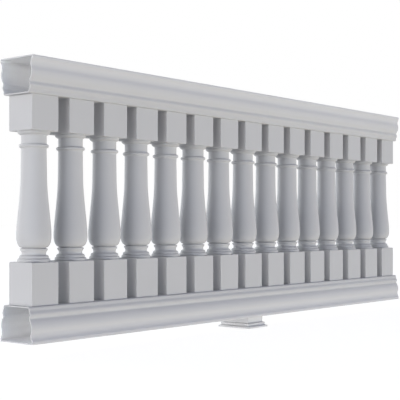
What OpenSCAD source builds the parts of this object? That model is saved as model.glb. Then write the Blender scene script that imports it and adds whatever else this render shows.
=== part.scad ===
// Balustrade panel of moulded fiberglass: a row of vase balusters between two hollow
// moulded rails, with a support block under the middle of the bottom rail.
// X runs along the rails, Y from front to back, Z up. The origin is the middle of the
// support block's underside.

/* [Panel] */
// Number of balusters in the row
baluster_count = 15; // [3:1:17]
// Distance from one baluster's centre to the next
bay_length = 180; // [150:1:220]
// Length of rail past the outer face of each end baluster
rail_overhang = 19; // [0:1:60]

/* [Rails] */
// Height of each rail
rail_height = 133.5; // [130:0.5:180]
// Depth of the rail at its crown, the wide edge
crown_depth = 177; // [160:1:200]
// Depth of the rail at its bed, the narrow edge that holds the balusters
bed_depth = 142; // [136:1:150]
// Thickness of the rail's wall
rail_wall = 5; // [3:0.5:7]
// Rounding of the long outer edges at the crown
crown_edge = 3.5; // [1:0.5:5]
// Rounding of the long outer edges at the bed
bed_edge = 7; // [3:0.5:8]
// Height of the plain band below the crown's edge
crown_band = 11; // [7:1:18]
// Height from the crown down to the middle of the cove
cove_drop = 33; // [28:1:42]
// How far the cove lies behind the crown
cove_inset = 8; // [5:0.5:12]
// Height from the crown down to the middle of the swelling
swell_drop = 58; // [52:1:68]
// How far the swelling lies behind the crown
swell_inset = 3; // [1:0.5:4.5]
// Height from the crown down to the quirk, the groove below the swelling
quirk_drop = 91; // [85:1:95]
// How far the quirk lies behind the crown
quirk_inset = 15.5; // [12.5:0.5:17]
// Height from the quirk down to the middle of the bead
bead_drop = 14; // [8:1:16]
// How far the bead lies behind the crown
bead_inset = 11; // [9:0.5:12]
// Height from the middle of the bead down to the bed's plain band
bed_hollow = 17; // [12:1:18]

/* [Baluster blocks] */
// Side of the square blocks
block_side = 125; // [110:1:130]
// Height of the bottom block
bottom_block_height = 155; // [100:1:200]
// Height of the top block
top_block_height = 128; // [80:1:180]
// Cut on the block edges that face the turned part
edge_width = 2.5; // [1:0.5:8]

/* [Turned part] */
// Height of the turned part between the blocks
turned_height = 472; // [420:1:620]
// Margin between the base disc and the block's side
base_margin = 2.5; // [0:0.5:4]
// Height of the base disc, the lower of two tiers
base_height = 12; // [7:0.5:14]
// How far the base disc draws in up to its ledge
base_taper = 4.5; // [2:0.5:5.5]
// Height of the upper tier
tier_height = 12.5; // [9:0.5:16]
// Radius of the upper tier's foot
tier_radius = 54.5; // [52:0.5:55]
// Radius of the upper tier's ledge
tier_top_radius = 47; // [46.5:0.5:50]
// Radius of the scotia, the hollow above the tiers
scotia_radius = 44; // [40:0.5:45.5]
// Height of the scotia
scotia_height = 16; // [12:0.5:22]
// Radius of the ring above the scotia
ring_radius = 50; // [48:0.5:54]
// Height of the ring
ring_height = 8; // [6:0.5:12]
// Radius of the neck under the belly
foot_neck_radius = 44.5; // [42:0.5:46]
// Height of the neck under the belly
foot_neck_height = 3; // [2:0.5:8]
// Largest radius of the belly
belly_radius = 63.7; // [58:0.1:72]
// Height from the belly's underside to its widest ring
belly_rise = 40; // [30:1:50]
// Radius at the foot of the upper shaft, where the belly has drawn in
waist_radius = 47.2; // [42:0.1:50]
// Height from the widest ring to the foot of the upper shaft
waist_rise = 230; // [180:1:260]
// Radius of the upper shaft's top and of the neck above the bead
neck_radius = 46; // [40:0.1:47]
// Radius of the astragal, the bead between shaft and neck
astragal_radius = 54; // [50:0.5:60]
// Height of the astragal
astragal_height = 13; // [10:0.5:22]
// Height of the hollow under the astragal
astragal_hollow = 8.5; // [3:0.5:12]
// Height of the neck between the astragal and the cap
neck_height = 28; // [15:0.5:45]
// Margin between the cap's edge and the block's side
cap_margin = 3.5; // [0:0.5:6]
// Height of the cap, the flare under the top block
cap_height = 15.5; // [8:0.5:18]
// Step of the small fillets of the turning
fillet = 2.5; // [1:0.5:4]

/* [Support] */
// Length of the support block along the rail
support_length = 110; // [80:1:160]
// Depth of the support block
support_depth = 143; // [90:1:143]
// Height of the support, base moulding included
support_height = 50; // [35:1:120]
// How far the base moulding stands out from the block
base_projection = 17; // [12:0.5:17]
// Height of the base moulding's slab
slab_height = 8; // [5:0.5:12]
// Height of the base moulding's cove
slab_cove = 8.5; // [6:0.5:12]
// Height of the base moulding's lip
lip_height = 6; // [5:0.5:10]
// How far the lip stands out from the block
lip_projection = 9; // [6:0.5:11]

/* [Hidden] */
// Points on each rounded stretch of a profile
curve_steps = 6;
// Points on the long sweep from belly to shaft
sweep_steps = 16;
// Bezier handle that makes a quarter ellipse
quarter = 0.5523;
// Handles of the rail's bends, as shares of their height: at an end where the slope is
// steep close by, at one where it eases off slowly, and at both ends of an even bend
quick = 0.1;
slow = 0.6;
even = 0.45;
// Handles of the long sweep at the belly and at the shaft
sweep_leave = 50;
sweep_arrive = 85;
// How far the turned part reaches into each block, where the two are one moulding
root_height = 12;
// Radius of the turned part inside the blocks
root_radius = 30;
$fn = 96;

baluster_height = bottom_block_height + turned_height + top_block_height;
row_length = (baluster_count - 1) * bay_length;
rail_length = row_length + block_side + 2 * rail_overhang;
bottom_rail_z = support_height;
baluster_z = bottom_rail_z + rail_height;
top_rail_z = baluster_z + baluster_height;
moulding_height = slab_height + slab_cove + lip_height;

white = "gainsboro";

function baluster_name(i) = str("baluster_", i < 10 ? "0" : "", i);
function baluster_x(i) = (i - 1) * bay_length - row_length / 2;

// A point on the cubic curve with the given end and handle points
function bezier(p0, p1, p2, p3, t) =
    pow(1 - t, 3) * p0 + 3 * pow(1 - t, 2) * t * p1 + 3 * (1 - t) * t * t * p2 + pow(t, 3) * p3;

function curve(p0, p1, p2, p3, steps = curve_steps) =
    [for (k = [1 : steps]) bezier(p0, p1, p2, p3, k / steps)];

// Profiles are lists of [reach, height]. A bend is upright at both ends, and its handles
// are the heights over which it leaves a and reaches b.
function upright_bend(a, b, leave, arrive, steps = curve_steps) =
    curve(a, a + [0, leave], b - [0, arrive], b, steps);

// The same, with its handles as shares of its height
function bend(a, b, leave, arrive) =
    upright_bend(a, b, leave * (b.y - a.y), arrive * (b.y - a.y));

// A quarter ellipse that leaves a upright and reaches b level
function quarter_upright(a, b) =
    curve(a, a + [0, quarter * (b.y - a.y)], b - [quarter * (b.x - a.x), 0], b);

// A quarter ellipse that leaves a level and reaches b upright
function quarter_level(a, b) =
    curve(a, a + [quarter * (b.x - a.x), 0], b - [0, quarter * (b.y - a.y)], b);

// ---- Rails ----

// One side of the rail from crown to bed as [reach from the middle, drop from the crown],
// moved in by a wall's thickness for the hollow
function rail_side(wall) =
    let (crown = crown_depth / 2 - wall,
         bed = bed_depth / 2 - wall,
         band = [crown, crown_band],
         cove = [crown - cove_inset, cove_drop],
         swell = [crown - swell_inset, swell_drop],
         quirk = [crown - quirk_inset, quirk_drop],
         bead = [crown - bead_inset, quirk_drop + bead_drop],
         plain = [bed, quirk_drop + bead_drop + bed_hollow])
    concat([band], bend(band, cove, quick, slow), bend(cove, swell, even, even),
           bend(swell, quirk, slow, quick), bend(quirk, bead, even, even),
           bend(bead, plain, even, even));

function mirrored_outline(side) =
    concat(side, [for (k = [len(side) - 1 : -1 : 0]) [-side[k].x, side[k].y]]);

// The rail's outer outline, with its four long edges rounded
function rail_outline() =
    let (crown = crown_depth / 2,
         bed = bed_depth / 2,
         crown_round = quarter_level([crown - crown_edge, 0], [crown, crown_edge]),
         bed_round = quarter_upright([bed, rail_height - bed_edge], [bed - bed_edge, rail_height]))
    mirrored_outline(concat([[crown - crown_edge, 0]], crown_round, rail_side(0),
                            [[bed, rail_height - bed_edge]], bed_round));

// The hollow's outline, one wall inside the outer one
function hollow_outline() =
    mirrored_outline(concat([[crown_depth / 2 - rail_wall, rail_wall]], rail_side(rail_wall),
                            [[bed_depth / 2 - rail_wall, rail_height - rail_wall]]));

// The rail with its crown down, on its crown's middle line
module rail() {
    rotate([90, 0, 90])
        linear_extrude(rail_length, center = true)
            difference() {
                polygon(rail_outline());
                polygon(hollow_outline());
            }
}

module top_rail() {
    color(white)
        translate([0, 0, top_rail_z + rail_height]) mirror([0, 0, 1]) rail();
}

module bottom_rail() {
    color(white)
        translate([0, 0, bottom_rail_z]) rail();
}

// ---- Balusters ----

// The turned part's profile as [radius, height], from its base disc up to its cap.
// The lower members are placed from the bottom block and the upper ones from the top
// block, so the long sweep and the plain shaft take up a change of height.
function turned_profile() =
    let (base = block_side / 2 - base_margin,
         tier_z = base_height,
         scotia_z = tier_z + tier_height,
         ring_z = scotia_z + scotia_height,
         neck_z = ring_z + ring_height,
         belly_z = neck_z + foot_neck_height,
         wide_z = belly_z + belly_rise,
         waist_z = wide_z + waist_rise,
         cap = block_side / 2 - cap_margin,
         cap_z = turned_height - cap_height,
         astragal_top = cap_z - fillet - neck_height,
         astragal_z = astragal_top - astragal_height,
         hollow_z = astragal_z - astragal_hollow,
         scotia_low = [scotia_radius, scotia_z + 0.35 * scotia_height],
         widest = [belly_radius, wide_z],
         waist = [waist_radius, waist_z],
         bead_foot = [neck_radius + fillet, astragal_z],
         bead_edge = [astragal_radius, astragal_z + astragal_height / 2],
         bead_top = [neck_radius, astragal_top],
         cap_foot = [neck_radius + fillet, cap_z])
    concat([[0, -root_height], [root_radius, -root_height], [root_radius, 0], [base, 0]],
           quarter_upright([base, 0], [base - base_taper, base_height]),
           [[tier_radius, tier_z]],
           quarter_upright([tier_radius, tier_z], [tier_top_radius, scotia_z]),
           [[scotia_radius + fillet, scotia_z]],
           quarter_level([scotia_radius + fillet, scotia_z], scotia_low),
           upright_bend(scotia_low, [ring_radius - fillet, ring_z], 0.5 * scotia_height, fillet),
           quarter_level([ring_radius - fillet, ring_z], [ring_radius, ring_z + ring_height / 2]),
           quarter_upright([ring_radius, ring_z + ring_height / 2], [ring_radius - fillet, neck_z]),
           [[foot_neck_radius, neck_z], [foot_neck_radius, belly_z]],
           quarter_level([foot_neck_radius, belly_z], widest),
           upright_bend(widest, waist, sweep_leave, sweep_arrive, sweep_steps),
           [[neck_radius, hollow_z]],
           quarter_upright([neck_radius, hollow_z], bead_foot),
           quarter_level(bead_foot, bead_edge),
           quarter_upright(bead_edge, bead_top),
           [[neck_radius, cap_z - fillet], cap_foot, [cap, turned_height]],
           [[root_radius, turned_height], [root_radius, turned_height + root_height],
            [0, turned_height + root_height]]);

// A square block that stands on z = 0, with its upper edges cut
module block(height) {
    half = block_side / 2;
    cut = edge_width;
    side = [[-half, 0], [half, 0], [half, height - cut], [half - cut, height],
            [cut - half, height], [-half, height - cut]];
    intersection() {
        rotate([90, 0, 0]) linear_extrude(block_side, center = true) polygon(side);
        rotate([90, 0, 90]) linear_extrude(block_side, center = true) polygon(side);
    }
}

module baluster() {
    block(bottom_block_height);
    translate([0, 0, bottom_block_height]) rotate_extrude() polygon(turned_profile());
    translate([0, 0, baluster_height]) mirror([0, 0, 1]) block(top_block_height);
}

module baluster_at(i) {
    color(white)
        translate([baluster_x(i), 0, baluster_z]) union() baluster();
}

// ---- Support under the middle of the bottom rail ----

module support_block() {
    color(white)
        translate([0, 0, (moulding_height + support_height) / 2])
            cube([support_length, support_depth, support_height - moulding_height], center = true);
}

// The base moulding's profile as [projection, height]
function moulding_profile() =
    let (cove_foot = [base_projection - fillet, slab_height],
         lip = [lip_projection, slab_height + slab_cove],
         lip_top = moulding_height - lip_height / 2)
    concat([[base_projection, 0], [base_projection, slab_height], cove_foot],
           quarter_level(cove_foot, lip - [fillet, 0]),
           [lip, [lip_projection, lip_top]],
           quarter_upright([lip_projection, lip_top], [lip_projection - fillet, moulding_height]));

function moulding_outline(width) =
    mirrored_outline([for (p = moulding_profile()) [p.x + width / 2, p.y]]);

module support_base() {
    reach = 2 * base_projection;
    color(white)
        intersection() {
            rotate([90, 0, 0])
                linear_extrude(support_depth + reach, center = true)
                    polygon(moulding_outline(support_length));
            rotate([90, 0, 90])
                linear_extrude(support_length + reach, center = true)
                    polygon(moulding_outline(support_depth));
        }
}

top_rail();
bottom_rail();
support_block();
support_base();
for (i = [1 : baluster_count])
    baluster_at(i);
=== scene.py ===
# %% [markdown]
# # A fiberglass balustrade panel
# A balustrade like this one looks like turned and painted stone, but each part of it is a thin
# moulding: a skin of gelcoat, the smooth resin that goes into the mould first, backed with
# layers of glass fibre. Two hollow rails hold a row of vase-shaped balusters, and a small
# support block carries the middle of the bottom rail.
#
# The CAD model of the panel already has every size and place, so it is loaded first and
# nothing in it is moved. Lengths are in metres: X runs along the rails, Y from front to back
# and Z up. Each part is then built again with softer edges, finer curves and a real finish,
# and takes the place of its CAD solid.

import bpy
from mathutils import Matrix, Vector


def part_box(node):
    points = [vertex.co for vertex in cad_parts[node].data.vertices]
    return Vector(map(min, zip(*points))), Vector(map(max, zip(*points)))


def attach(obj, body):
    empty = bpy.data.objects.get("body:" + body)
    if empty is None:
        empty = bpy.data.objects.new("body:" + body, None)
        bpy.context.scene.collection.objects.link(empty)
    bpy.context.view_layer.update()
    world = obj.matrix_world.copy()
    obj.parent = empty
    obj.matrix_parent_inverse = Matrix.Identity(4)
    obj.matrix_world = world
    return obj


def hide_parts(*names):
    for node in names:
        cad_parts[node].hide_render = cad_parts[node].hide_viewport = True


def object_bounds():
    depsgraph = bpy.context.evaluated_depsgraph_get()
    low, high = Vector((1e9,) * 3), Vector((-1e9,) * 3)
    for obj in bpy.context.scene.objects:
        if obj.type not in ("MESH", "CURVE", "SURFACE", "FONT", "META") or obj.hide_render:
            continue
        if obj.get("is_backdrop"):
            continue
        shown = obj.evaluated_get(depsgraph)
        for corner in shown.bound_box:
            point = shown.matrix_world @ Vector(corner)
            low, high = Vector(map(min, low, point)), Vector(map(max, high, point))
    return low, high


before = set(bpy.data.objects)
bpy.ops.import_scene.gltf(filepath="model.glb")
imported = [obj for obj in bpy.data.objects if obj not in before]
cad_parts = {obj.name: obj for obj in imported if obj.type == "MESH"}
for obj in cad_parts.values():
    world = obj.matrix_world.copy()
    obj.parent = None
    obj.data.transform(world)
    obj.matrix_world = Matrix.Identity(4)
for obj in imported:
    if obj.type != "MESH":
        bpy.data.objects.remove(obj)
cad_low, cad_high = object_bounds()
print("CAD parts:", len(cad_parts), "box:", *[round(side, 3) for side in cad_high - cad_low])

# %% [markdown]
# ## Writing nodes as Python
# Shaders and Geometry Nodes are both graphs of nodes, which could be placed and joined one
# line at a time. That gets long, and the sum that a graph works out disappears in it. Two
# small classes keep the sums readable. A `Socket` stands for one output of a node, and
# Python's own signs on it add Math nodes. A `Graph` adds any other node in one call: first
# the node's settings, then the values or links of its sockets.

# %% A socket that calculates
import bpy


class Socket:
    """One output of a node. Arithmetic on it adds Math nodes to its graph."""

    def __init__(self, graph, output):
        self.graph = graph
        self.output = output

    def math(self, operation, *values):
        return self.graph.add("ShaderNodeMath", {"operation": operation}, dict(enumerate(values)))

    def __add__(self, other):
        return self.math("ADD", self, other)

    def __sub__(self, other):
        return self.math("SUBTRACT", self, other)

    def __mul__(self, other):
        return self.math("MULTIPLY", self, other)

    def __truediv__(self, other):
        return self.math("DIVIDE", self, other)

    def __mod__(self, other):
        return self.math("MODULO", self, other)

    def __gt__(self, other):
        return self.math("GREATER_THAN", self, other)

    def __radd__(self, other):
        return self.math("ADD", other, self)

    def __rsub__(self, other):
        return self.math("SUBTRACT", other, self)

    def __rmul__(self, other):
        return self.math("MULTIPLY", other, self)

    def __rtruediv__(self, other):
        return self.math("DIVIDE", other, self)

    def exponential(self):
        return self.math("EXPONENT", self)


# %% A graph that adds any node
class Graph:
    """A node tree. Sockets are named as Blender shows them, or numbered from 0."""

    def __init__(self, tree):
        self.tree = tree
        tree.nodes.clear()

    def add(self, kind, settings=None, sockets=None, output=0):
        node = self.tree.nodes.new(kind)
        for name, setting in (settings or {}).items():
            setattr(node, name, setting)
        for key, value in (sockets or {}).items():
            self.set(self.find(node.inputs, key), value)
        return Socket(self, self.find(node.outputs, output)) if node.outputs else node

    def find(self, sockets, key):
        shown = [socket for socket in sockets if socket.enabled]
        return shown[key] if isinstance(key, int) else next(s for s in shown if s.name == key)

    def set(self, socket, value):
        for each in value if isinstance(value, list) else [value]:
            if isinstance(each, Socket):
                self.tree.links.new(each.output, socket)
            else:
                socket.default_value = each

    def vector(self, operation, first, second):
        """Vector Math on two vectors or colours, or on one of them and a number."""
        return self.add("ShaderNodeVectorMath", {"operation": operation}, {0: first, 1: second})

    def mix(self, factor, first, second):
        """A colour between two others."""
        sockets = {"Factor": factor, "A": first, "B": second}
        return self.add("ShaderNodeMix", {"data_type": "RGBA"}, sockets, output="Result")

    def fade(self, value, low, high):
        """0 where value is under low, 1 where it is over high, and smooth between."""
        sockets = {"Value": value, "From Min": low, "From Max": high}
        return self.add("ShaderNodeMapRange", {"interpolation_type": "SMOOTHSTEP"}, sockets)


# %% [markdown]
# ## The camera
# A long row looks longest from one end. The camera stands to the left of the panel and in
# front of it, a little below half its height, and looks along the row at about 50 degrees
# from square on. It stays level so that every baluster stands upright in the picture, and
# a small shift of the lens, as on a view camera, centres the panel instead of a tilt.

# %% Place the camera
import math

from mathutils import Vector

LENS, LENS_SHIFT = 87.63, 0.0555
STAND_LEFT, STAND_BACK, EYE_HEIGHT = 3.603, 2.710, 0.482
HEADING = math.radians(-50.53)

scene = bpy.context.scene
panel_middle = (cad_low + cad_high) / 2

lens = bpy.data.cameras.new("view_camera")
lens.lens = LENS
lens.shift_y = LENS_SHIFT
lens.clip_end = 200

camera = bpy.data.objects.new("view_camera", lens)
camera.location = (panel_middle.x - STAND_LEFT, panel_middle.y - STAND_BACK, EYE_HEIGHT)
camera.rotation_euler = (math.radians(90), 0, HEADING)
scene.collection.objects.link(camera)
scene.camera = camera
scene.view_settings.view_transform = "Standard"
print("camera to panel:", round((camera.location - panel_middle).length, 2), "m")

# %% [markdown]
# ## Studio light
# White mouldings need soft light, because their shape shows only in small steps of grey. Here
# one large soft box stands at the left end of the row and lights the end faces, and a weaker
# one reaches from there a little way round behind. One is behind the row, and one high behind
# it for the tops. The front is lit straight on and from the right, both from slightly below
# level, and two warm ones lower down, a wide and a narrow one, stand for the light that a
# white floor sends up. The last one is at the right end, and a trace of blue comes from above.
#
# Each of them is a smooth bump in the world's colour: brightest in one direction and fading
# with the angle from it, the faster the tighter it is. A row of lamps could do the same, but
# with harder shadows and more noise.
#
# What the camera sees behind the panel is a separate choice. Light Path tells a camera ray
# from a ray that carries light, so the background is plain white and adds nothing to the
# light. Mirror-like rays see that white too, and it gives the gelcoat its soft sheen.

# %% Soft light in the world
SOFT_LIGHTS = {  # where it stands, how tight it is, its colour and strength
    "left end": ((-1.0, 0.0, 0.0), 14.0, (6.3, 6.1, 5.9)),
    "left end, further back": ((-0.97, 0.26, 0.0), 14.0, (1.0, 1.15, 1.25)),
    "behind": ((0.0, 1.0, 0.0), 14.0, (4.6, 4.7, 5.1)),
    "high behind": ((0.0, 0.64, 0.77), 10.0, (1.4, 1.6, 1.2)),
    "front": ((0.0, -0.98, -0.21), 20.0, (3.1, 3.8, 4.4)),
    "front right": ((0.85, -0.49, -0.21), 20.0, (2.9, 3.0, 2.7)),
    "low and wide": ((0.64, -0.64, -0.42), 3.0, (0.28, 0.25, 0.1)),
    "low and narrow": ((0.45, -0.78, -0.42), 10.0, (1.75, 1.3, 1.05)),
    "right end": ((1.0, 0.0, 0.0), 14.0, (1.35, 1.65, 2.45)),
    "above": ((0.0, 0.0, 1.0), 2.0, (0.01, 0.02, 0.23)),
}

world = bpy.data.worlds.new("studio_light")
world.use_nodes = True
scene.world = world
graph = Graph(world.node_tree)


def soft_light(graph, direction, place, tightness, colour):
    """The light of one soft box, as a colour that changes with direction."""
    facing = graph.vector("DOT_PRODUCT", direction, Vector(place).normalized())
    return graph.vector("SCALE", colour, (tightness * (facing - 1)).exponential())


direction = graph.add("ShaderNodeTexCoord", output="Generated")
light, *others = [soft_light(graph, direction, *settings) for settings in SOFT_LIGHTS.values()]
for other in others:
    light = graph.vector("ADD", light, other)

rays = [graph.add("ShaderNodeLightPath", output=name)
        for name in ("Is Camera Ray", "Is Glossy Ray", "Is Transmission Ray")]
seen = graph.add("ShaderNodeBackground", {}, {"Color": (1, 1, 1, 1), "Strength": 1.0})
lit = graph.add("ShaderNodeBackground", {}, {"Color": light, "Strength": 1.0})
background = graph.add("ShaderNodeMixShader", {}, {0: sum(rays) > 0.5, 1: lit, 2: seen})
graph.add("ShaderNodeOutputWorld", {}, {"Surface": background})
print("soft lights:", len(SOFT_LIGHTS), "world nodes:", len(world.node_tree.nodes))

# %% [markdown]
# ## The floor
# The floor is plain and as pale as the background, so the two join without an edge. It is
# mostly its own white with some matt paper in it, and the paper part is what takes the soft
# shadow under the panel. It is hidden from the rays that light the panel, since the world's
# lower half already stands for the light that a white floor sends up.

# %% Lay the floor
FLOOR_HALF = 60.0
PAPER_SHARE = 0.3
FLOOR_GLOW = 1.3

floor_mesh = bpy.data.meshes.new("studio_floor")
corners = [(-FLOOR_HALF, -FLOOR_HALF, 0), (FLOOR_HALF, -FLOOR_HALF, 0),
           (FLOOR_HALF, FLOOR_HALF, 0), (-FLOOR_HALF, FLOOR_HALF, 0)]
floor_mesh.from_pydata(corners, [], [(0, 1, 2, 3)])
floor = bpy.data.objects.new("studio_floor", floor_mesh)
scene.collection.objects.link(floor)
floor.location.z = cad_low.z - 0.0005
for ray in ("visible_diffuse", "visible_glossy", "visible_shadow"):
    setattr(floor, ray, False)

floor_paper = bpy.data.materials.new("studio_paper")
floor_paper.use_nodes = True
graph = Graph(floor_paper.node_tree)
place = graph.add("ShaderNodeTexCoord", output="Object")
grain = graph.add("ShaderNodeTexNoise", {}, {"Vector": place, "Scale": 40.0})
tone = graph.mix(grain, (0.78, 0.78, 0.78, 1), (0.84, 0.84, 0.84, 1))
paper = graph.add("ShaderNodeBsdfDiffuse", {}, {"Color": tone})
glow = graph.add("ShaderNodeEmission", {}, {"Color": (1, 1, 1, 1), "Strength": FLOOR_GLOW})
surface = graph.add("ShaderNodeMixShader", {}, {0: PAPER_SHARE, 1: glow, 2: paper})
graph.add("ShaderNodeOutputMaterial", {}, {"Surface": surface})
floor_mesh.materials.append(floor_paper)
floor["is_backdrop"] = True
print("floor:", 2 * FLOOR_HALF, "m square")

# %% [markdown]
# ## Gelcoat
# This gelcoat is a flat white resin, nearest to a good matt wall paint: it has only a faint
# sheen and no colour of its own in the reflection. Close up it isn't flat. Its thickness
# varies, so the tone clouds slightly. It shrinks as it sets, which leaves a fine orange peel,
# and the glass cloth behind it prints through as shallow waves. Dust settles where a surface
# faces up. On a rail, painted shade darkens the colour over the mouldings towards the bed.
#
# All of that but the painted shade comes from noise in Object coordinates, so it is fixed to
# the part and needs no picture. The painted shade follows an attribute of the rail's mesh that
# runs from 0 at the crown to 1 at the bed. Only the colour, the roughness and the bump vary
# over a surface.
# The sheen is the same all over, so it is a plain number on the shader.

# %% A gelcoat for any part
CLOUD_SCALE, CLOUDING = 6.0, 0.025
SPECKLE_SCALE = 90.0
PEEL_SCALE, PEEL_DEPTH = 420.0, 0.02
WAVE_SCALE, WAVE_DEPTH = 14.0, 0.25
DUST, DUST_COVER = (0.36, 0.35, 0.34, 1), 0.18
# The darker grey that the painted shade on the rails turns towards near the bed.
PAINTED_SHADE = (0.40, 0.40, 0.40, 1)
ROUGHNESS, SHEEN = 0.4, 0.13
RELIEF_UNIT = 0.001


def scaled(colour, factor):
    return tuple(factor * channel for channel in colour) + (1,)


def gelcoat(name, colour, painted_shade=0):
    """A nearly matt gelcoat of the given linear colour, darkened by painted shade at the bed."""
    material = bpy.data.materials.new(name)
    material.use_nodes = True
    graph = Graph(material.node_tree)
    place = graph.add("ShaderNodeTexCoord", output="Object")
    normal = graph.add("ShaderNodeNewGeometry", output="Normal")
    facing_up = graph.add("ShaderNodeSeparateXYZ", {}, {"Vector": normal}, output="Z")

    def noise(scale, detail=2.0):
        sockets = {"Vector": place, "Scale": scale, "Detail": detail}
        return graph.add("ShaderNodeTexNoise", {}, sockets)

    cloud = noise(CLOUD_SCALE, 4.0)
    speckle = noise(SPECKLE_SCALE, 3.0)
    coat = graph.mix(cloud, scaled(colour, 1 - CLOUDING), scaled(colour, 1 + CLOUDING))
    # Painted shade: the colour turns towards a darker grey near the rail's bed.
    if painted_shade:
        bed_shade_mask = graph.add("ShaderNodeAttribute", {"attribute_name": "bed_shade_mask"}, output="Fac")
        coat = graph.mix(bed_shade_mask * painted_shade, coat, PAINTED_SHADE)
    settled = graph.fade(facing_up, 0.45, 0.95) * graph.fade(speckle, 0.3, 0.75) * DUST_COVER
    tone = graph.mix(settled, coat, DUST)

    roughness = ROUGHNESS + 0.10 * (cloud - 0.5) + 0.08 * (speckle - 0.5) + 0.3 * settled
    relief = PEEL_DEPTH * noise(PEEL_SCALE) + WAVE_DEPTH * noise(WAVE_SCALE)
    bump = graph.add("ShaderNodeBump", {}, {"Distance": RELIEF_UNIT, "Height": relief})
    sockets = {"Base Color": tone, "Roughness": roughness, "Specular IOR Level": SHEEN,
               "Normal": bump}
    resin = graph.add("ShaderNodeBsdfPrincipled", {}, sockets)
    graph.add("ShaderNodeOutputMaterial", {}, {"Surface": resin})
    return material


# The rails' coat gets painted shade towards the bed.
rail_coat = gelcoat("rail_coat", (0.617, 0.617, 0.632), painted_shade=0.45)
baluster_coat = gelcoat("baluster_coat", (0.53, 0.53, 0.54))
support_coat = gelcoat("support_coat", (0.66, 0.66, 0.67))
print("gelcoats:", rail_coat.name, baluster_coat.name, support_coat.name)

# %% [markdown]
# ## The inside of a rail
# The rails are open at their ends, and inside there is no gelcoat: the bare laminate shows,
# where each strand of woven glass stands up a little through the resin. Two waves at right
# angles make the weave. They run along the rail and round its girth, so the second one reads
# an attribute that holds the distance round the section. Towards the bed the colour turns
# darker and greyer, which is painted shade.

# %% Bare laminate
STRAND, STRAND_DRIFT, DRIFT_SCALE = 0.007, 1.6, 25.0
WEAVE_SHOWS, WEAVE_DEPTH = 0.12, 0.25
MOTTLE_SCALE, MOTTLING, MOTTLE_DEPTH = 45.0, 0.2, 0.1


def laminate(name, colour, shade_and_mottle_tone):
    """Woven glass set in resin. It reads how far round the section a point lies, and how near
    it is to the bed, where painted shade makes it darker and greyer."""
    material = bpy.data.materials.new(name)
    material.use_nodes = True
    graph = Graph(material.node_tree)
    place = graph.add("ShaderNodeTexCoord", output="Object")
    along = graph.add("ShaderNodeSeparateXYZ", {}, {"Vector": place}, output="X")
    girth = graph.add("ShaderNodeAttribute", {"attribute_name": "girth"}, output="Fac")
    drift = graph.add("ShaderNodeTexNoise", {}, {"Vector": place, "Scale": DRIFT_SCALE})
    turn = 2 * math.pi / STRAND

    def strands(position):
        phase = position * turn + STRAND_DRIFT * drift
        return phase.math("SINE", phase) * 0.5 + 0.5

    weave = strands(along) * strands(girth)
    sockets = {"Vector": place, "Scale": MOTTLE_SCALE, "Detail": 4.0}
    mottle = graph.add("ShaderNodeTexNoise", {}, sockets)
    # Painted shade: the laminate turns darker and greyer towards the bed.
    bed_shade_mask = graph.add("ShaderNodeAttribute", {"attribute_name": "bed_shade_mask"}, output="Fac")
    shaded_toward_bed = graph.mix(graph.fade(bed_shade_mask, 0.3, 0.95), scaled(colour, 1), scaled(shade_and_mottle_tone, 1))
    mottled = graph.mix(mottle * MOTTLING, shaded_toward_bed, scaled(shade_and_mottle_tone, 1))
    tone = graph.mix(weave * WEAVE_SHOWS, mottled, (1, 1, 1, 1))
    relief = WEAVE_DEPTH * weave + MOTTLE_DEPTH * mottle
    bump = graph.add("ShaderNodeBump", {}, {"Distance": RELIEF_UNIT, "Height": relief})
    sockets = {"Base Color": tone, "Roughness": 0.5 + 0.25 * mottle, "IOR": 1.5, "Normal": bump}
    resin = graph.add("ShaderNodeBsdfPrincipled", {}, sockets)
    graph.add("ShaderNodeOutputMaterial", {}, {"Surface": resin})
    return material


# The second colour is the darker tone of the painted shade, which the mottle also reaches for.
bare_laminate = laminate("bare_laminate", (0.92, 0.92, 0.92), (0.67, 0.68, 0.70))
print("laminate strands every", STRAND * 1000, "mm")

# %% [markdown]
# ## Curves for the profiles
# Rails and balusters are both described by a profile, a line of points in millimetres that
# gives how far the surface reaches out at each height. Joiners draw such profiles from
# quarter ellipses and from S bends that start and end upright, so those two curves are all
# that is needed. Each returns the points after its start, so they join end to end.

# %% Quarter ellipses and bends
from mathutils.geometry import interpolate_bezier

MM = 0.001
QUARTER = 0.5523
FINE = 8


def point(reach, height):
    return Vector((reach, height))


def curve(a, leave, arrive, b, steps=FINE):
    return interpolate_bezier(a, a + leave, b - arrive, b, steps + 1)[1:]


def upright_bend(a, b, leave, arrive, steps=FINE):
    return curve(a, point(0, leave), point(0, arrive), b, steps)


def bend(a, b, leave, arrive):
    """An upright bend with its handles as shares of its height."""
    return upright_bend(a, b, leave * (b.y - a.y), arrive * (b.y - a.y))


def quarter_upright(a, b):
    """Leaves a upright and reaches b level."""
    return curve(a, point(0, QUARTER * (b.y - a.y)), point(QUARTER * (b.x - a.x), 0), b)


def quarter_level(a, b, steps=FINE):
    """Leaves a level and reaches b upright."""
    return curve(a, point(QUARTER * (b.x - a.x), 0), point(0, QUARTER * (b.y - a.y)), b, steps)


print("points in a quarter:", len(quarter_level(point(0, 0), point(1, 1))))


# %% Soft corners
SHARP = math.radians(25)


def soften(points, radius):
    """Rounds a profile's corners, as gelcoat does where it fills the corners of a mould."""
    soft = [points[0]]
    for before, corner, after in zip(points, points[1:], points[2:]):
        back, ahead = before - corner, after - corner
        turn = math.pi - back.angle(ahead)
        if turn < SHARP:
            soft.append(corner)
            continue
        cut = min(radius * math.tan(turn / 2), 0.45 * back.length, 0.45 * ahead.length)
        start = corner + cut * back.normalized()
        end = corner + cut * ahead.normalized()
        soft += interpolate_bezier(start, start.lerp(corner, 0.6), end.lerp(corner, 0.6), end, 4)
    return soft + [points[-1]]


square = [point(0, 0), point(10, 0), point(10, 10)]
print("points in a square corner, once soft:", len(soften(square, 1)) - 2)


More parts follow.
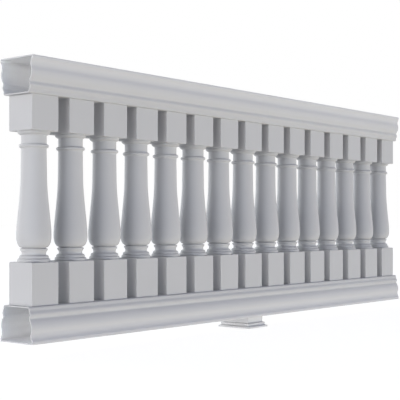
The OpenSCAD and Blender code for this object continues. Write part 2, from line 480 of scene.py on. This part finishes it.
# %% [markdown]
# ## From a node tree to a mesh
# A Geometry Nodes tree is only a recipe. It works on an object through a modifier, and the
# finished shape is then copied out as a plain mesh, so that nothing of the recipe has to
# travel with the part. Each input is set by its identifier, a name that Blender gives it and
# that stays the same if the label changes.

# %% Helpers that run a tree
SMOOTH_BELOW = math.radians(35)
LINK = {"Geometry": "NodeSocketGeometry", "Length": "NodeSocketFloat", "Steps": "NodeSocketInt",
        "Coat": "NodeSocketMaterial", "Lining": "NodeSocketMaterial"}


def recipe(name, inputs):
    """A new Geometry Nodes tree as a graph, and its inputs as sockets."""
    tree = bpy.data.node_groups.new(name, "GeometryNodeTree")
    graph = Graph(tree)
    for label in ("Geometry", *inputs):
        tree.interface.new_socket(label, in_out="INPUT", socket_type=LINK[label])
    tree.interface.new_socket("Geometry", in_out="OUTPUT", socket_type=LINK["Geometry"])
    start = tree.nodes.new("NodeGroupInput")
    return graph, {s.name: Socket(graph, s) for s in start.outputs if s.name}


def serve(graph, geometry):
    """Ends a recipe: instances are made real and the result goes out."""
    real = graph.add("GeometryNodeRealizeInstances", {}, {"Geometry": geometry})
    graph.add("NodeGroupOutput", {}, {"Geometry": real})
    return graph.tree


def use_tree(piece, tree, values):
    modifier = piece.modifiers.new(tree.name, "NODES")
    modifier.node_group = tree
    for item in tree.interface.items_tree:
        if item.in_out == "INPUT" and item.name in values:
            modifier[item.identifier] = values[item.name]


def plain_mesh(piece):
    """The piece with its modifiers worked in, as a mesh of its own. The piece is removed."""
    shapes = bpy.context.evaluated_depsgraph_get()
    mesh = bpy.data.meshes.new_from_object(piece.evaluated_get(shapes), depsgraph=shapes,
                                           preserve_all_data_layers=True)
    name, source = piece.name, piece.data
    bpy.data.objects.remove(piece)
    bpy.data.meshes.remove(source)
    mesh.name = name
    mesh.shade_smooth()
    mesh.set_sharp_from_angle(angle=SMOOTH_BELOW)
    return mesh


def new_piece(name, mesh):
    piece = bpy.data.objects.new(name, mesh)
    scene.collection.objects.link(piece)
    return piece


# %% A check on every finished mesh
import bmesh


def check(mesh):
    """Prints the size of a mesh and stops if it is open or inside out."""
    shape = bmesh.new()
    shape.from_mesh(mesh)
    gaps = sum(not edge.is_manifold for edge in shape.edges)
    volume = shape.calc_volume(signed=True)
    triangles = sum(len(face.verts) - 2 for face in shape.faces)
    shape.free()
    print(f"{mesh.name}: {triangles} triangles, {volume * 1000:.2f} litres, {gaps} open edges")
    if gaps or volume <= 0:
        raise ValueError(f"{mesh.name} is open or inside out")
    return mesh


# %% [markdown]
# ## The rails
# Both rails are one tube with a moulded section. From the wide crown it steps in through a
# plain band, a long cove and a swelling to a narrow quirk, and ends in a bead and a hollow
# at the bed, the narrow side that holds the balusters. The bottom rail is the same tube
# turned over.
#
# A tube is a section that is drawn out along a line. Here the section is a flat ring of
# faces, outer line and inner line, and the tree extrudes it along the rail, so the wall keeps
# its thickness and the cut ends are closed. Each point of the ring also carries whether it
# is inside, how far round it lies and how near it is to the bed. The finishes use these.

# %% Sizes of the rail's section, in millimetres
RAIL_HEIGHT = 133.5
CROWN_DEPTH = 177
BED_DEPTH = 142
RAIL_WALL = 5
CROWN_EDGE, BED_EDGE = 3.5, 7
LINING_EDGE = 2
CROWN_BAND = 11
COVE_DROP, COVE_INSET = 33, 8
SWELL_DROP, SWELL_INSET = 58, 3
QUIRK_DROP, QUIRK_INSET = 91, 15.5
BEAD_DROP, BEAD_INSET = 14, 11
BED_HOLLOW = 17
QUICK, EVEN, SLOW = 0.1, 0.45, 0.6


def rail_side(wall, crown_edge, bed_edge):
    """Half of the section from crown to bed, as reach and drop, moved in by a wall."""
    crown, bed = CROWN_DEPTH / 2 - wall, BED_DEPTH / 2 - wall
    top, foot = wall, RAIL_HEIGHT - wall
    band = point(crown, CROWN_BAND)
    cove = point(crown - COVE_INSET, COVE_DROP)
    swell = point(crown - SWELL_INSET, SWELL_DROP)
    quirk = point(crown - QUIRK_INSET, QUIRK_DROP)
    bead = point(crown - BEAD_INSET, QUIRK_DROP + BEAD_DROP)
    plain = point(bed, QUIRK_DROP + BEAD_DROP + BED_HOLLOW)
    return [
        point(crown - crown_edge, top),
        *quarter_level(point(crown - crown_edge, top), point(crown, top + crown_edge)),
        band, *bend(band, cove, QUICK, SLOW), *bend(cove, swell, EVEN, EVEN),
        *bend(swell, quirk, SLOW, QUICK), *bend(quirk, bead, EVEN, EVEN),
        *bend(bead, plain, EVEN, EVEN),
        point(bed, foot - bed_edge),
        *quarter_upright(point(bed, foot - bed_edge), point(bed - bed_edge, foot)),
    ]


def rail_outline(*wall_and_edges):
    side = rail_side(*wall_and_edges)
    return side + [point(-p.x, p.y) for p in reversed(side)]


outer = rail_outline(0, CROWN_EDGE, BED_EDGE)
inner = rail_outline(RAIL_WALL, LINING_EDGE, LINING_EDGE)
print("points on the rail's outlines:", len(outer), len(inner))


# %% The ring that is drawn out
def rail_section(name, x, crown_z, down):
    """The rail's section as a flat ring at x. down is -1 where the crown is on top."""
    count = len(outer)
    points = [(x, p.x * MM, crown_z + down * p.y * MM) for p in outer + inner]
    faces = [(i, (i + 1) % count, count + (i + 1) % count, count + i) for i in range(count)]
    mesh = bpy.data.meshes.new(name)
    mesh.from_pydata(points, [], faces if down > 0 else [face[::-1] for face in faces])

    girths = [0.0]
    for before, after in zip(outer, outer[1:]):
        girths.append(girths[-1] + (after - before).length * MM)
    mesh.attributes.new("girth", "FLOAT", "POINT").data.foreach_set("value", girths * 2)
    inside = [0.0] * count + [1.0] * count
    mesh.attributes.new("inside", "FLOAT", "POINT").data.foreach_set("value", inside)
    # 0 at the crown and 1 at the bed; the finishes use it as the mask of painted shade.
    bed_shade_mask = [p.y / RAIL_HEIGHT for p in outer + inner]
    mesh.attributes.new("bed_shade_mask", "FLOAT", "POINT").data.foreach_set("value", bed_shade_mask)
    return mesh


# %% The tree that draws it out
graph, given = recipe("drawn_tube", ["Length", "Coat", "Lining"])
rail_line = graph.add("ShaderNodeCombineXYZ", {}, {"X": given["Length"]})
drawn = graph.add(
    "GeometryNodeExtrudeMesh", {"mode": "FACES"},
    {"Mesh": given["Geometry"], "Offset": rail_line, "Individual": False},
)
back = graph.add("GeometryNodeFlipFaces", {}, {"Mesh": given["Geometry"]})
both = graph.add("GeometryNodeJoinGeometry", {}, {"Geometry": [drawn, back]})
closed = graph.add("GeometryNodeMergeByDistance", {}, {"Geometry": both, "Distance": 1e-6})
inside = graph.add("GeometryNodeInputNamedAttribute", {"data_type": "FLOAT"}, {"Name": "inside"})
coated = graph.add("GeometryNodeSetMaterial", {}, {"Geometry": closed, "Material": given["Coat"]})
lined = graph.add(
    "GeometryNodeSetMaterial", {},
    {"Geometry": coated, "Selection": inside > 0.75, "Material": given["Lining"]},
)
drawn_tube = serve(graph, lined)
print("drawn_tube:", len(drawn_tube.nodes), "nodes")

# %% Draw both rails
CUT_EDGE = 0.0006
pieces = []


def rail(name, node, down):
    low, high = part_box(node)
    crown_z = high.z if down < 0 else low.z
    source = new_piece(name, rail_section(name, low.x, crown_z, down))
    use_tree(source, drawn_tube,
             {"Length": high.x - low.x, "Coat": rail_coat, "Lining": bare_laminate})
    cut = source.modifiers.new("cut_edge", "BEVEL")
    cut.width, cut.segments = CUT_EDGE, 2
    cut.limit_method, cut.angle_limit = "ANGLE", math.radians(60)
    piece = new_piece(name, check(plain_mesh(source)))
    pieces.append((piece, node, "rail_gelcoat"))


rail("top_rail_tube", "top_rail", -1)
rail("bottom_rail_tube", "bottom_rail", 1)

# %% [markdown]
# ## The turned part of a baluster
# The pattern for the mould was turned on a lathe, so one profile spun about the upright axis
# gives the whole shape. The Screw modifier could spin it. A tree that does it shows the rule
# better: it lays out a grid with a row for each point of the profile and a column for each
# step round, looks up the profile for every grid point, and wraps the columns into a circle.
#
# The profile climbs from a base disc and a second tier through a scotia, a ring and a neck
# to the belly, sweeps in along the shaft, and ends in an astragal and a cap with a thin rim.
# Fine grooves set the members off from each other, because a line of shadow reads further
# than a change of curve does.

# %% Sizes of the turned part, in millimetres
BLOCK_SIDE = 125
BOTTOM_BLOCK, TURNED, TOP_BLOCK = 155, 472, 128
BASE_MARGIN, BASE_HEIGHT, BASE_TAPER = 2.5, 12, 4.5
TIER_RADIUS, TIER_TOP_RADIUS, TIER_HEIGHT = 54.5, 47, 12.5
SCOTIA_RADIUS, SCOTIA_HEIGHT, SCOTIA_LOW, SCOTIA_RISE = 44, 16, 0.35, 0.5
RING_RADIUS, RING_HEIGHT = 50, 8
FOOT_NECK_RADIUS, FOOT_NECK_HEIGHT = 44.5, 3
BELLY_RADIUS, BELLY_RISE = 63.7, 40
WAIST_RADIUS, WAIST_RISE = 47.2, 230
NECK_RADIUS, NECK_HEIGHT = 46, 28
ASTRAGAL_RADIUS, ASTRAGAL_HEIGHT, ASTRAGAL_HOLLOW = 54, 13, 8.5
CAP_MARGIN, CAP_HEIGHT, CAP_RIM, CAP_LEDGE = 3.5, 15.5, 3.6, 1.5
CAP_LEAVE, CAP_ARRIVE = point(5, 2), point(2, 5)
FILLET = 2.5
ROOT_RADIUS, ROOT_HEIGHT = 30, 12
SWEEP_LEAVE, SWEEP_ARRIVE, SWEEP_STEPS, BELLY_STEPS = 50, 85, 26, 12
GROOVE_DEPTH, GROOVE_HEIGHT = 2.2, 1.6
CORNER = 0.7
print("whole baluster:", BOTTOM_BLOCK + TURNED + TOP_BLOCK, "mm high")


# %% Draw the profile
def grooved(foot):
    """The foot of a member, with the fine groove that sets it off from what is below."""
    inner, lip = foot - point(GROOVE_DEPTH, 0), foot + point(0, GROOVE_HEIGHT)
    return [inner, inner + point(0, GROOVE_HEIGHT), lip]


def lower_members():
    """From the base disc up to the neck under the belly."""
    base = BLOCK_SIDE / 2 - BASE_MARGIN
    tier_z = BASE_HEIGHT
    scotia_z = tier_z + TIER_HEIGHT
    ring_z = scotia_z + SCOTIA_HEIGHT
    neck_z = ring_z + RING_HEIGHT
    ledge = point(SCOTIA_RADIUS + FILLET, scotia_z)
    hollow = point(SCOTIA_RADIUS, scotia_z + SCOTIA_LOW * SCOTIA_HEIGHT)
    ring_low = point(RING_RADIUS - FILLET, ring_z)
    ring_edge = point(RING_RADIUS, ring_z + RING_HEIGHT / 2)
    neck = point(FOOT_NECK_RADIUS, neck_z)
    neck_groove = neck + point(0, (FOOT_NECK_HEIGHT - GROOVE_HEIGHT) / 2)
    disc, tier = grooved(point(base, 0)), grooved(point(TIER_RADIUS, tier_z))
    return [
        *disc, *quarter_upright(disc[-1], point(base - BASE_TAPER, tier_z)),
        *tier, *quarter_upright(tier[-1], point(TIER_TOP_RADIUS, scotia_z)),
        ledge, *quarter_level(ledge, hollow),
        *upright_bend(hollow, ring_low, SCOTIA_RISE * SCOTIA_HEIGHT, FILLET),
        *quarter_level(ring_low, ring_edge),
        *quarter_upright(ring_edge, point(RING_RADIUS - FILLET, neck_z)),
        neck, neck_groove, *grooved(neck_groove), neck + point(0, FOOT_NECK_HEIGHT),
    ]


def upper_members():
    """From the hollow under the astragal up to the cap."""
    cap_z = TURNED - CAP_HEIGHT
    astragal_top = cap_z - FILLET - NECK_HEIGHT
    astragal_z = astragal_top - ASTRAGAL_HEIGHT
    bead_foot = point(NECK_RADIUS + FILLET, astragal_z)
    bead_edge = point(ASTRAGAL_RADIUS, astragal_z + ASTRAGAL_HEIGHT / 2)
    hollow = point(NECK_RADIUS, astragal_z - ASTRAGAL_HOLLOW)
    cap_foot = point(NECK_RADIUS + CAP_LEDGE, cap_z + CAP_LEDGE)
    cap = point(BLOCK_SIDE / 2 - CAP_MARGIN, TURNED)
    rim_foot = cap - point(0, CAP_RIM)
    return [
        hollow, *quarter_upright(hollow, bead_foot), *quarter_level(bead_foot, bead_edge),
        *quarter_upright(bead_edge, point(NECK_RADIUS, astragal_top)),
        cap_foot - point(CAP_LEDGE, 0), cap_foot,
        *curve(cap_foot, CAP_LEAVE, CAP_ARRIVE, rim_foot), *grooved(rim_foot), cap,
    ]


def turned_profile():
    """The whole profile, with a root at each end that reaches into the blocks."""
    lower, upper = lower_members(), upper_members()
    belly_z = lower[-1].y
    widest = point(BELLY_RADIUS, belly_z + BELLY_RISE)
    waist = point(WAIST_RADIUS, widest.y + WAIST_RISE)
    sweep = upright_bend(widest, waist, SWEEP_LEAVE, SWEEP_ARRIVE, SWEEP_STEPS)
    body = lower + quarter_level(lower[-1], widest, BELLY_STEPS) + sweep + upper
    root = [point(0, -ROOT_HEIGHT), point(ROOT_RADIUS, -ROOT_HEIGHT), point(ROOT_RADIUS, 0)]
    crown = [point(p.x, TURNED - p.y) for p in reversed(root)]
    return root + soften(body, CORNER) + crown


profile = turned_profile()
print("profile points:", len(profile), "widest:", round(max(p.x for p in profile), 1), "mm")

# %% The lathe
graph, given = recipe("lathe", ["Steps", "Coat"])
rows = graph.add(
    "GeometryNodeAttributeDomainSize", {"component": "MESH"}, {"Geometry": given["Geometry"]},
    "Point Count",
)
grid = graph.add(
    "GeometryNodeMeshGrid", {}, {"Vertices X": given["Steps"] + 1, "Vertices Y": rows}, "Mesh"
)
index = graph.add("GeometryNodeInputIndex")
row = index % rows
column = (index - row) / rows
here = graph.add(
    "GeometryNodeSampleIndex", {"data_type": "FLOAT_VECTOR"},
    {"Geometry": given["Geometry"], "Value": graph.add("GeometryNodeInputPosition"), "Index": row},
)
radius = graph.add("ShaderNodeSeparateXYZ", {}, {"Vector": here}, "X")
height = graph.add("ShaderNodeSeparateXYZ", {}, {"Vector": here}, "Z")
angle = column * (2 * math.pi) / given["Steps"]
spun = graph.add(
    "ShaderNodeCombineXYZ", {},
    {"X": radius * angle.math("COSINE", angle), "Y": radius * angle.math("SINE", angle),
     "Z": height},
)
wrapped = graph.add("GeometryNodeSetPosition", {}, {"Geometry": grid, "Position": spun})
closed = graph.add("GeometryNodeMergeByDistance", {}, {"Geometry": wrapped, "Distance": 1e-6})
coated = graph.add("GeometryNodeSetMaterial", {}, {"Geometry": closed, "Material": given["Coat"]})
lathe = serve(graph, coated)
print("lathe:", len(lathe.nodes), "nodes")


# %% Spin the turned part
LATHE_STEPS = 72


def outward(mesh):
    """Turns every face of a closed mesh outwards."""
    shape = bmesh.new()
    shape.from_mesh(mesh)
    bmesh.ops.recalc_face_normals(shape, faces=shape.faces)
    shape.to_mesh(mesh)
    shape.free()
    return mesh


profile_mesh = bpy.data.meshes.new("turned_part")
profile_mesh.from_pydata(
    [(p.x * MM, 0, p.y * MM) for p in profile], [(i, i + 1) for i in range(len(profile) - 1)], []
)
source = new_piece("turned_part", profile_mesh)
use_tree(source, lathe, {"Steps": LATHE_STEPS, "Coat": baluster_coat})
turned_part = check(outward(plain_mesh(source)))

# %% [markdown]
# ## The blocks, and one whole baluster
# Above and below the turned part stand plain square blocks. Their edges towards the turned
# part are well rounded, and the upright ones and those against the rail hardly at all, so
# each edge gets its own bevel weight. The baluster is a single moulding, so the three
# shapes are joined by a Boolean into one closed skin. Weighted normals keep the flat sides of
# the blocks flat next to their rounded edges.

# %% Rounded blocks
ROUND_EDGE, FINE_EDGE = 2.5, 0.8


def rounded_block(name, height, turned_side):
    """A block that stands on z = 0. turned_side is 1 if the turned part is on top, or -1."""
    half = BLOCK_SIDE / 2 * MM
    shape = bmesh.new()
    bmesh.ops.create_cube(shape, size=1)
    for vertex in shape.verts:
        x, y, z = vertex.co
        vertex.co = (2 * half * x, 2 * half * y, (z + 0.5) * height * MM)
    weight = shape.edges.layers.float.new("bevel_weight_edge")
    for edge in shape.edges:
        level = sum(vertex.co.z > height * MM / 2 for vertex in edge.verts)
        edge[weight] = 1 if level == 1 + turned_side else FINE_EDGE / ROUND_EDGE
    mesh = bpy.data.meshes.new(name)
    shape.to_mesh(mesh)
    shape.free()
    mesh.materials.append(baluster_coat)
    piece = new_piece(name, mesh)
    bevel = piece.modifiers.new("rounding", "BEVEL")
    bevel.width, bevel.segments, bevel.limit_method = ROUND_EDGE * MM, 4, "WEIGHT"
    return check(plain_mesh(piece))


bottom_block = rounded_block("bottom_block", BOTTOM_BLOCK, 1)
top_block = rounded_block("top_block", TOP_BLOCK, -1)


# %% Join them into one moulding
from mathutils import Matrix


def raised(mesh, height):
    mesh.transform(Matrix.Translation((0, 0, height * MM)))
    return mesh


body = new_piece("baluster_moulding", raised(turned_part, BOTTOM_BLOCK))
blocks = [new_piece("bottom_block", bottom_block),
          new_piece("top_block", raised(top_block, BOTTOM_BLOCK + TURNED))]
for block in blocks:
    joint = body.modifiers.new(block.name, "BOOLEAN")
    joint.operation, joint.solver, joint.object = "UNION", "EXACT", block
baluster = check(plain_mesh(body))
for block in blocks:
    bpy.data.objects.remove(block)

# %% [markdown]
# ## The row of balusters
# All fifteen came out of one mould, so one mesh is copied and moved to each place. Every
# copy stays a piece of its own, and its place is in its mesh. The noise of the gelcoat reads
# those places, so no two copies have the same clouds.

# %% Set out the row
def stood_at(mesh, node):
    """Moves a mesh made round the upright axis to the foot of a CAD solid."""
    low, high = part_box(node)
    mesh.transform(Matrix.Translation(((low.x + high.x) / 2, (low.y + high.y) / 2, low.z)))
    return mesh


row_of_nodes = sorted(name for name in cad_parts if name.startswith("baluster_"))
for node in row_of_nodes:
    piece = new_piece(node + "_moulding", stood_at(baluster.copy(), node))
    weighted = piece.modifiers.new("weighted", "WEIGHTED_NORMAL")
    weighted.keep_sharp = True
    pieces.append((piece, node, "baluster_gelcoat"))
print("balusters:", len(row_of_nodes))

# %% [markdown]
# ## The support
# Under the eighth baluster a short block carries the bottom rail on a moulded base, with a
# slab, a cove and a lip that are mitred at the corners like a picture frame. Mitred members
# are rings: each point of the profile gives one rectangle, and neighbouring rectangles are
# joined by four faces, which meet along the mitres by themselves.

# %% Sizes of the support, in millimetres
SUPPORT_LENGTH, SUPPORT_DEPTH = 110, 143
BASE_PROJECTION, SLAB_HEIGHT, SLAB_COVE = 17, 8, 8.5
LIP_HEIGHT, LIP_PROJECTION = 6, 9
SUPPORT_EDGE = 0.9


def moulding_profile():
    """The base moulding as projection from the block and height."""
    cove = point(BASE_PROJECTION - FILLET, SLAB_HEIGHT)
    lip = point(LIP_PROJECTION, SLAB_HEIGHT + SLAB_COVE)
    lip_top = point(LIP_PROJECTION, SLAB_HEIGHT + SLAB_COVE + LIP_HEIGHT / 2)
    top = point(LIP_PROJECTION - FILLET, SLAB_HEIGHT + SLAB_COVE + LIP_HEIGHT)
    points = [point(0, 0), point(BASE_PROJECTION, 0), point(BASE_PROJECTION, SLAB_HEIGHT), cove,
              *quarter_level(cove, lip - point(FILLET, 0)), lip, lip_top,
              *quarter_upright(lip_top, top), point(0, top.y)]
    return soften(points, CORNER)[1:-1]


print("points on the base moulding:", len(moulding_profile()))


# %% Mitred rings
def mitred(name, length, depth, members):
    """A closed block from rectangular rings, one for each projection and height."""
    shape = bmesh.new()
    rings = []
    for member in members:
        half_x, half_y = length / 2 + member.x, depth / 2 + member.x
        corners = ((-1, -1), (1, -1), (1, 1), (-1, 1))
        rings.append([
            shape.verts.new((x * half_x * MM, y * half_y * MM, member.y * MM)) for x, y in corners
        ])
    for lower, upper in zip(rings, rings[1:]):
        for i in range(4):
            j = (i + 1) % 4
            shape.faces.new((lower[i], lower[j], upper[j], upper[i]))
    shape.faces.new(rings[0][::-1])
    shape.faces.new(rings[-1])
    mesh = bpy.data.meshes.new(name)
    shape.to_mesh(mesh)
    shape.free()
    return mesh


def support_piece(name, node, members):
    mesh = stood_at(mitred(name, SUPPORT_LENGTH, SUPPORT_DEPTH, members), node)
    mesh.materials.append(support_coat)
    source = new_piece(name, mesh)
    edge = source.modifiers.new("rounding", "BEVEL")
    edge.width, edge.segments = SUPPORT_EDGE * MM, 3
    edge.limit_method, edge.angle_limit = "ANGLE", math.radians(50)
    piece = new_piece(name, check(plain_mesh(source)))
    pieces.append((piece, node, "support_gelcoat"))


low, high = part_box("support_block")
block_height = (high.z - low.z) / MM
support_piece("support_base_moulding", "support_base", moulding_profile())
support_piece("support_block_moulding", "support_block", [point(0, 0), point(0, block_height)])

# %% [markdown]
# ## Hand the pieces over
# Each piece rides on the panel's one body and stands for its CAD solid, which is hidden. The
# outer box is measured before and after, because dressing a part must not change its size.

for piece, node, slot in pieces:
    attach(piece, "root")
    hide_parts(node)

low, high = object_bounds()
print("pieces:", len(pieces), "box:", *[round(side, 3) for side in high - low])
